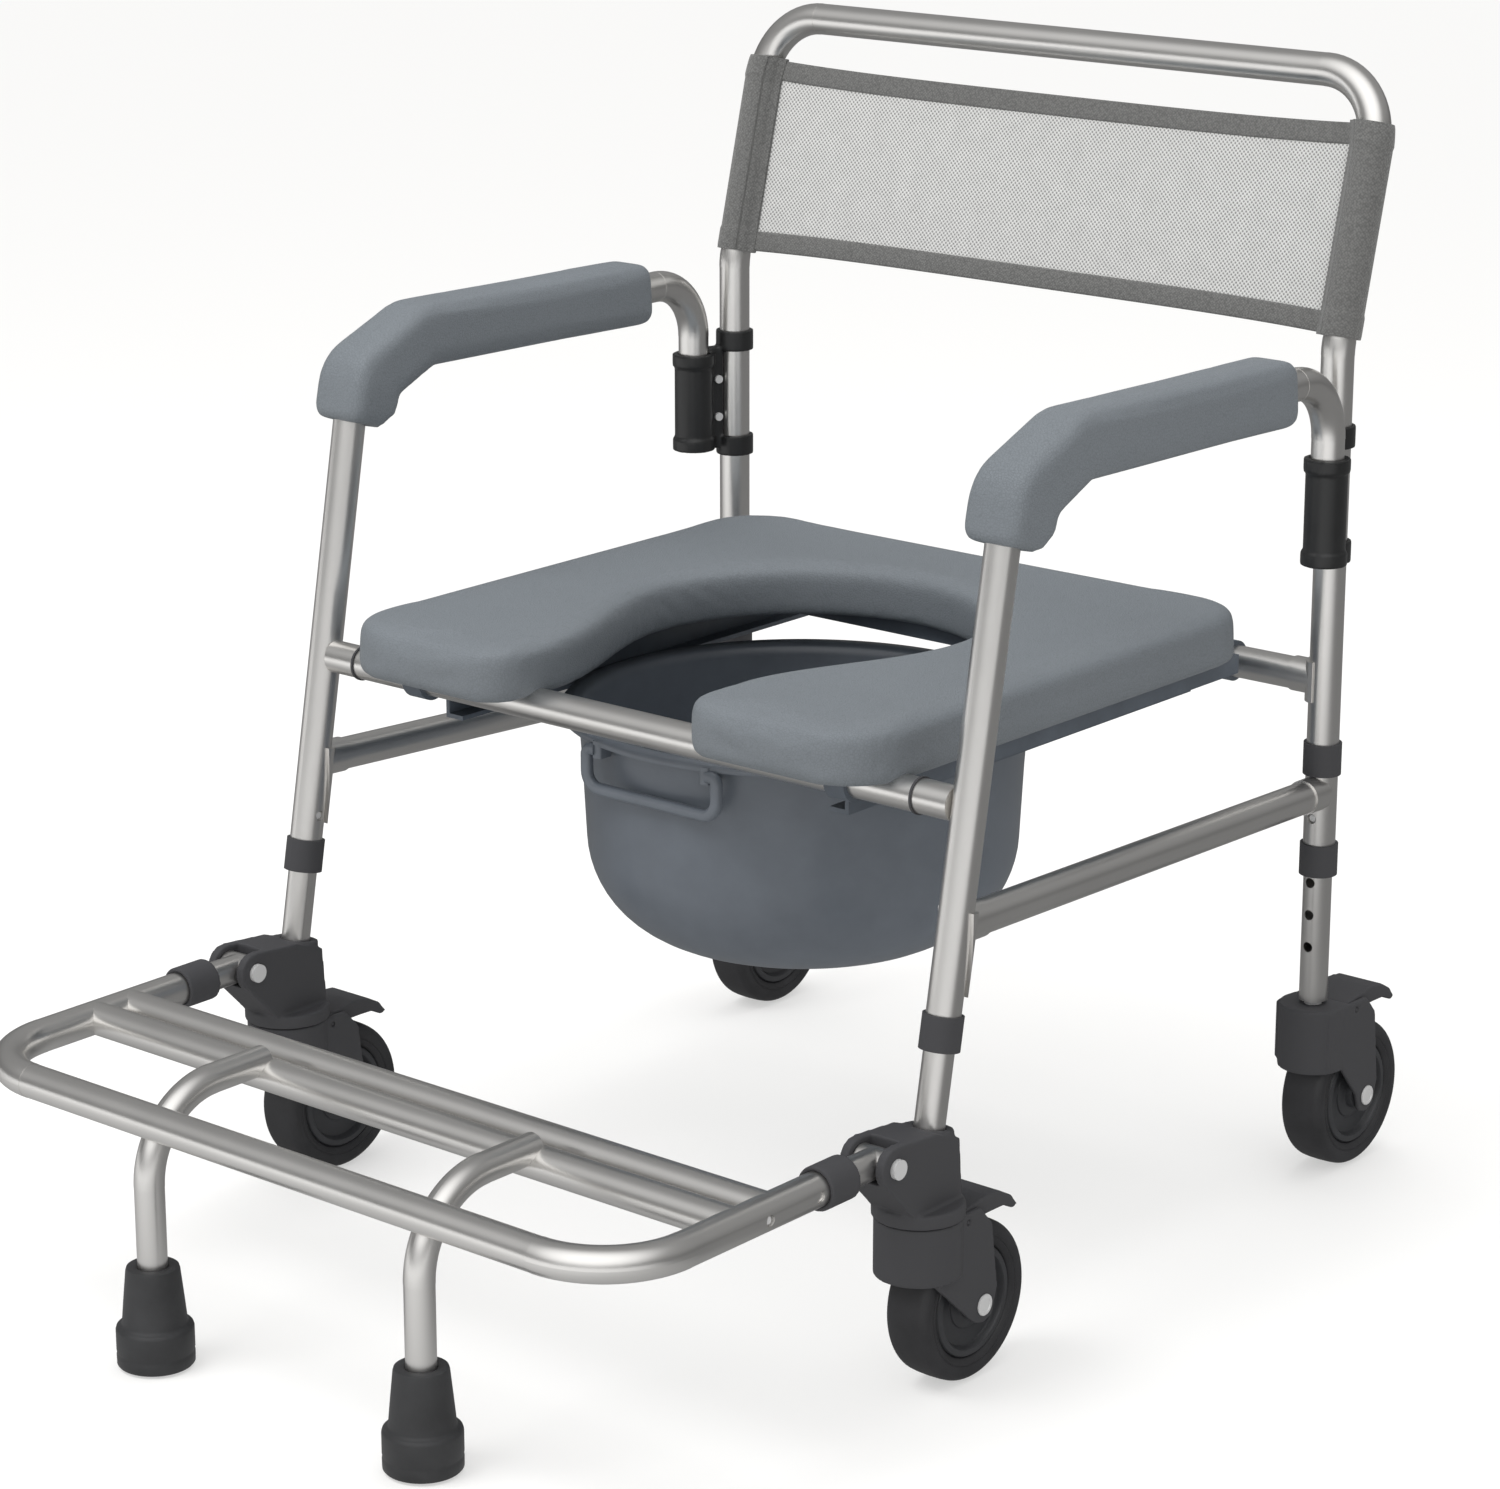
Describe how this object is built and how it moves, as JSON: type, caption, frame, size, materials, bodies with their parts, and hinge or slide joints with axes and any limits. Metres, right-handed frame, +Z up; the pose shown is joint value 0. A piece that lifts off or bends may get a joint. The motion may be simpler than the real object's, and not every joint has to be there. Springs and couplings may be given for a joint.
{
  "type": "wheeled commode chair",
  "caption": "Wheeled tubular chair with a horseshoe seat over a sliding bucket, padded armrests, a fabric back, braked casters and a footrest that folds up and pulls out.",
  "frame": {"origin": "on the floor, under the centre of the chair's outline", "axes": "+Z up; the sitter faces -Y; +X is the sitter's left"},
  "size_m": [0.606, 0.8444, 0.7671],
  "materials": {
    "tube": "satin anodised",
    "steel": "zinc plated",
    "black_plastic": "fine moulded grain",
    "rubber": "matt",
    "tyre": "matt",
    "pad": "grained soft polyurethane foam skin",
    "board": "plain",
    "bucket": "satin",
    "border": "woven band",
    "mesh": "open mesh cloth",
    "carrier": "plain",
    "hub": "fine moulded grain"
  },
  "bodies": {
    "frame": {"back_frame": "tube", "rear_crossbar": "tube", "front_crossbar": "tube", "side_frame_left": "tube", "side_frame_right": "tube", "side_rail_left": "tube", "side_rail_right": "tube", "arm_pad_left": "pad", "arm_pad_right": "pad", "arm_sleeve_left": "black_plastic", "arm_sleeve_right": "black_plastic", "tube_collars": "black_plastic", "frame_screws": "steel", "back_mesh": "mesh", "back_border": "border", "seat_carrier": "carrier"},
    "seat": {"seat_board": "board", "seat_pad": "pad"},
    "bucket": {"bucket": "bucket"},
    "bucket_handle": {"bucket_handle": "bucket"},
    "front_carriage": {"front_legs": "tube", "knuckle_left": "black_plastic", "knuckle_right": "black_plastic", "knuckle_pins": "steel"},
    "footrest_arm": {"footrest_stubs": "tube"},
    "footrest": {"footrest_loop": "tube", "footrest_cross_tubes": "tube", "footrest_legs": "tube", "footrest_collars": "black_plastic", "rubber_feet": "rubber"},
    "rear_leg_left": {"rear_leg_left": "tube", "rear_stem_left": "steel"},
    "rear_leg_right": {"rear_leg_right": "tube", "rear_stem_right": "steel"},
    "footrest_button_left": {"footrest_button_left": "steel"},
    "rear_button_left": {"rear_button_left": "steel"},
    "front_button_left": {"front_button_left": "steel"},
    "footrest_button_right": {"footrest_button_right": "steel"},
    "rear_button_right": {"rear_button_right": "steel"},
    "front_button_right": {"front_button_right": "steel"},
    "rear_left_swivel": {"rear_left_fork": "black_plastic", "rear_left_axle": "steel"},
    "rear_left_wheel": {"rear_left_tyre": "tyre", "rear_left_hub": "hub"},
    "rear_left_brake": {"rear_left_pedal": "black_plastic"},
    "rear_right_swivel": {"rear_right_fork": "black_plastic", "rear_right_axle": "steel"},
    "rear_right_wheel": {"rear_right_tyre": "tyre", "rear_right_hub": "hub"},
    "rear_right_brake": {"rear_right_pedal": "black_plastic"},
    "front_left_swivel": {"front_left_fork": "black_plastic", "front_left_axle": "steel"},
    "front_left_wheel": {"front_left_tyre": "tyre", "front_left_hub": "hub"},
    "front_left_brake": {"front_left_pedal": "black_plastic"},
    "front_right_swivel": {"front_right_fork": "black_plastic", "front_right_axle": "steel"},
    "front_right_wheel": {"front_right_tyre": "tyre", "front_right_hub": "hub"},
    "front_right_brake": {"front_right_pedal": "black_plastic"}
  },
  "joints": [
    {"name": "seat_lift", "type": "slide", "parent": "frame", "child": "seat", "axis": [0, 0, 1], "range_m": [0, 0.12]},
    {"name": "bucket_slide", "type": "slide", "parent": "frame", "child": "bucket", "axis": [0, 1, 0], "range_m": [0, 0.33]},
    {"name": "bucket_handle_swing", "type": "hinge", "parent": "bucket", "child": "bucket_handle", "pos_m": [0, -0.05875, 0.3343], "axis": [-1, 0, 0], "range_deg": [0, 80]},
    {"name": "front_leg_height", "type": "slide", "parent": "frame", "child": "front_carriage", "axis": [0, -0.181, -0.9835], "range_m": [0, 0.046]},
    {"name": "rear_leg_left_height", "type": "slide", "parent": "frame", "child": "rear_leg_left", "axis": [0, 0, -1], "range_m": [0, 0.069]},
    {"name": "rear_leg_right_height", "type": "slide", "parent": "frame", "child": "rear_leg_right", "axis": [0, 0, -1], "range_m": [0, 0.069]},
    {"name": "footrest_fold", "type": "hinge", "parent": "front_carriage", "child": "footrest_arm", "pos_m": [0, -0.16975, 0.165], "axis": [-1, 0, 0], "range_deg": [0, 90]},
    {"name": "footrest_reach", "type": "slide", "parent": "footrest_arm", "child": "footrest", "axis": [0, -1, 0], "range_m": [0, 0.046]},
    {"name": "footrest_button_left_press", "type": "slide", "parent": "footrest_arm", "child": "footrest_button_left", "axis": [-1, 0, 0], "range_m": [0, 0.003], "stiffness_N_per_m": 400, "springref_m": -0.001},
    {"name": "rear_button_left_press", "type": "slide", "parent": "rear_leg_left", "child": "rear_button_left", "axis": [0, 1, 0], "range_m": [0, 0.003], "stiffness_N_per_m": 400, "springref_m": -0.001},
    {"name": "front_button_left_press", "type": "slide", "parent": "front_carriage", "child": "front_button_left", "axis": [1, 0, 0], "range_m": [0, 0.003], "stiffness_N_per_m": 400, "springref_m": -0.001},
    {"name": "footrest_button_right_press", "type": "slide", "parent": "footrest_arm", "child": "footrest_button_right", "axis": [1, 0, 0], "range_m": [0, 0.003], "stiffness_N_per_m": 400, "springref_m": -0.001},
    {"name": "rear_button_right_press", "type": "slide", "parent": "rear_leg_right", "child": "rear_button_right", "axis": [0, 1, 0], "range_m": [0, 0.003], "stiffness_N_per_m": 400, "springref_m": -0.001},
    {"name": "front_button_right_press", "type": "slide", "parent": "front_carriage", "child": "front_button_right", "axis": [-1, 0, 0], "range_m": [0, 0.003], "stiffness_N_per_m": 400, "springref_m": -0.001},
    {"name": "rear_left_swivel_turn", "type": "hinge", "parent": "rear_leg_left", "child": "rear_left_swivel", "pos_m": [0.26, 0.33225, 0.1], "axis": [0, 0, 1], "continuous": true},
    {"name": "rear_left_wheel_roll", "type": "hinge", "parent": "rear_left_swivel", "child": "rear_left_wheel", "pos_m": [0.26, 0.37025, 0.052], "axis": [-1, 0, 0], "continuous": true},
    {"name": "rear_left_brake_press", "type": "hinge", "parent": "rear_left_swivel", "child": "rear_left_brake", "pos_m": [0.26, 0.35425, 0.119], "axis": [-1, 0, 0], "range_deg": [0, 5]},
    {"name": "rear_right_swivel_turn", "type": "hinge", "parent": "rear_leg_right", "child": "rear_right_swivel", "pos_m": [-0.26, 0.33225, 0.1], "axis": [0, 0, 1], "continuous": true},
    {"name": "rear_right_wheel_roll", "type": "hinge", "parent": "rear_right_swivel", "child": "rear_right_wheel", "pos_m": [-0.26, 0.37025, 0.052], "axis": [-1, 0, 0], "continuous": true},
    {"name": "rear_right_brake_press", "type": "hinge", "parent": "rear_right_swivel", "child": "rear_right_brake", "pos_m": [-0.26, 0.35425, 0.119], "axis": [-1, 0, 0], "range_deg": [0, 5]},
    {"name": "front_left_swivel_turn", "type": "hinge", "parent": "front_carriage", "child": "front_left_swivel", "pos_m": [0.274, -0.12638, 0.1], "axis": [0, 0, 1], "continuous": true},
    {"name": "front_left_wheel_roll", "type": "hinge", "parent": "front_left_swivel", "child": "front_left_wheel", "pos_m": [0.274, -0.08838, 0.052], "axis": [-1, 0, 0], "continuous": true},
    {"name": "front_left_brake_press", "type": "hinge", "parent": "front_left_swivel", "child": "front_left_brake", "pos_m": [0.274, -0.10438, 0.111], "axis": [-1, 0, 0], "range_deg": [0, 5]},
    {"name": "front_right_swivel_turn", "type": "hinge", "parent": "front_carriage", "child": "front_right_swivel", "pos_m": [-0.274, -0.12638, 0.1], "axis": [0, 0, 1], "continuous": true},
    {"name": "front_right_wheel_roll", "type": "hinge", "parent": "front_right_swivel", "child": "front_right_wheel", "pos_m": [-0.274, -0.08838, 0.052], "axis": [-1, 0, 0], "continuous": true},
    {"name": "front_right_brake_press", "type": "hinge", "parent": "front_right_swivel", "child": "front_right_brake", "pos_m": [-0.274, -0.10438, 0.111], "axis": [-1, 0, 0], "range_deg": [0, 5]}
  ]
}
